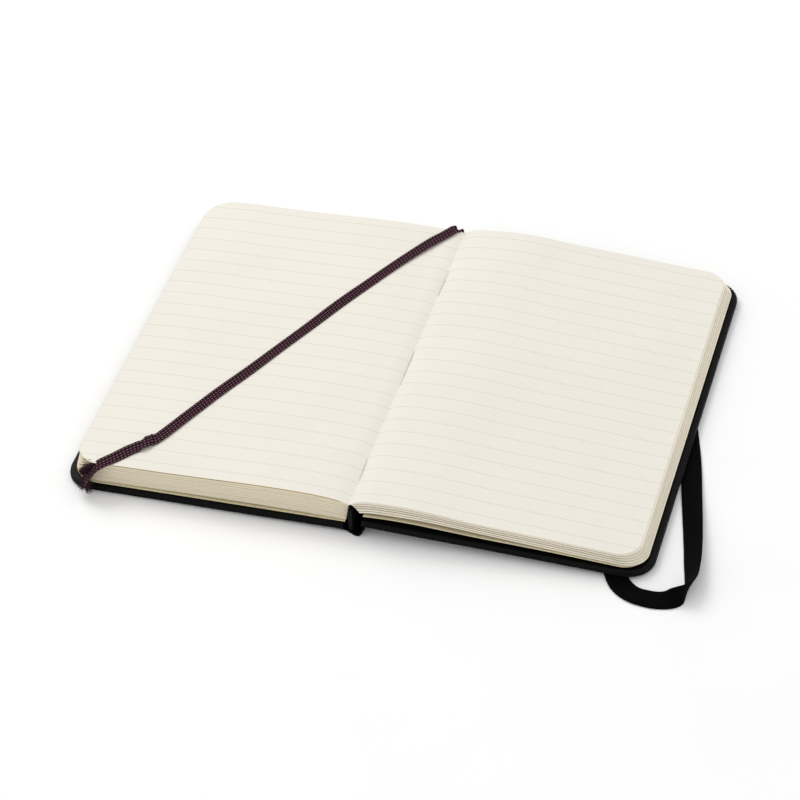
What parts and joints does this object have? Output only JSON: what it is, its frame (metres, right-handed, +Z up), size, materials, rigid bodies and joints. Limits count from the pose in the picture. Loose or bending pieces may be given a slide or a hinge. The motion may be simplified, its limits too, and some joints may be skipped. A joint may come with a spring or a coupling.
{
  "type": "pocket notebook",
  "caption": "Pocket notebook lying open: hard oilcloth covers, sewn ruled page blocks, folded spine, back pocket, ribbon bookmark and elastic band.",
  "frame": {"origin": "on the table under the gutter of the open spread, at the middle of the page height", "axes": "+X towards the right-hand fore-edge, +Y up the page towards the head, +Z up"},
  "size_m": [0.1985, 0.1519, 0.0122],
  "materials": {
    "page_paper": "smooth cream writing paper with thin grey ruled lines",
    "cover_board": "grey board",
    "cover_skin": "black oilcloth, finely grained, half matt",
    "joint_skin": "black oilcloth, creased",
    "end_paper": "heavier cream end paper",
    "pocket_paper": "cream card",
    "pocket_cloth": "thin black cloth",
    "elastic": "flat black elastic with fine lengthwise ribs",
    "ribbon": "flat dark maroon ribbon with paler lengthwise stitches",
    "thread": "waxed white linen thread",
    "gauze": "open weave book gauze",
    "spine_liner": "thin black card"
  },
  "bodies": {
    "back_cover": {"back_board": "cover_board", "back_cover_skin": "cover_skin", "back_pastedown": "end_paper", "pocket_panel": "pocket_paper", "pocket_gusset_head": "pocket_cloth", "pocket_gusset_foot": "pocket_cloth", "elastic_band": "elastic"},
    "right_pages": {"back_flyleaf": "end_paper", "signature_12": "page_paper", "signature_11": "page_paper", "signature_10": "page_paper", "signature_09": "page_paper", "signature_08_right": "page_paper", "spine_gauze": "gauze"},
    "back_joint": {"back_joint_skin": "joint_skin"},
    "back_spine": {"back_spine_strip": "spine_liner"},
    "front_cover": {"front_board": "cover_board", "front_cover_skin": "cover_skin", "front_pastedown": "end_paper", "front_flyleaf": "end_paper", "signature_01": "page_paper", "signature_02": "page_paper", "signature_03": "page_paper", "signature_04": "page_paper", "signature_05": "page_paper", "signature_06": "page_paper", "signature_07": "page_paper", "signature_08_left": "page_paper", "sewing_thread": "thread", "ribbon_bookmark": "ribbon", "front_joint_skin": "joint_skin", "front_spine_strip": "spine_liner"}
  },
  "joints": [
    {"name": "book_close", "type": "hinge", "parent": "back_cover", "child": "front_cover", "pos_m": [0, 0, 0.0116], "axis": [0, 1, 0], "range_deg": [0, 177]},
    {"name": "right_pages_settle", "type": "hinge", "parent": "back_cover", "child": "right_pages", "pos_m": [0.0885, 0, 0.0038], "axis": [0, -1, 0], "range_deg": [0, 0.9]},
    {"name": "back_joint_fold", "type": "hinge", "parent": "back_cover", "child": "back_joint", "pos_m": [0.0046, 0, 0.0042], "axis": [0, 1, 0], "range_deg": [0, 45]},
    {"name": "back_spine_fold", "type": "hinge", "parent": "back_joint", "child": "back_spine", "pos_m": [0.00115, 0, 0.00075], "axis": [0, -1, 0], "range_deg": [0, 50]}
  ],
  "couplings": [
    {"joint": "right_pages_settle", "follows": "book_close", "ratio": 0.00508},
    {"joint": "back_joint_fold", "follows": "book_close", "ratio": 0.2542},
    {"joint": "back_spine_fold", "follows": "book_close", "ratio": 0.2824}
  ]
}
